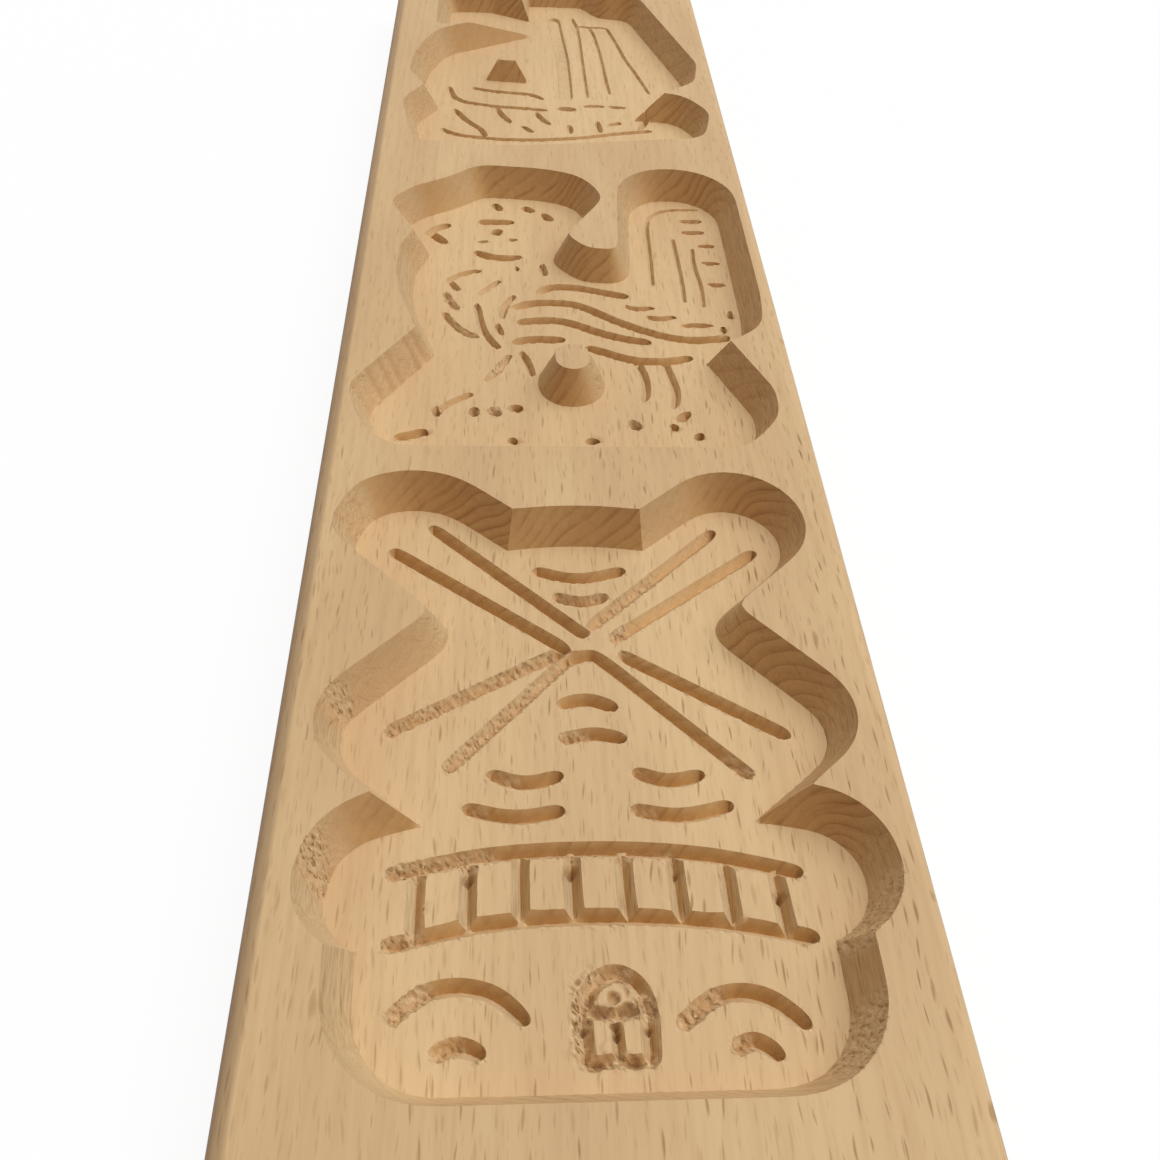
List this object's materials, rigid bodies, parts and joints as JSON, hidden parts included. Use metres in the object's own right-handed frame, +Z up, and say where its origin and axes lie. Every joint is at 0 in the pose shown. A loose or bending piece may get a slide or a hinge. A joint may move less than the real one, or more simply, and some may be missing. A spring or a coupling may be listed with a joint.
{
  "type": "cookie mould",
  "caption": "Long flat wooden mould whose upper face is hollowed into a windmill, a rooster and a sailing ship, for shaping biscuit dough.",
  "frame": {"origin": "middle of the underside, on the surface that the board lies on", "axes": "+X across the board to the right of the figures, +Y along it from the windmill's base towards the ship, +Z up, out of the carved face"},
  "size_m": [0.1, 0.4, 0.02],
  "materials": {
    "beech": "planed and carved, unvarnished"
  },
  "bodies": {
    "root": {"mould_board": "beech"}
  },
  "joints": []
}
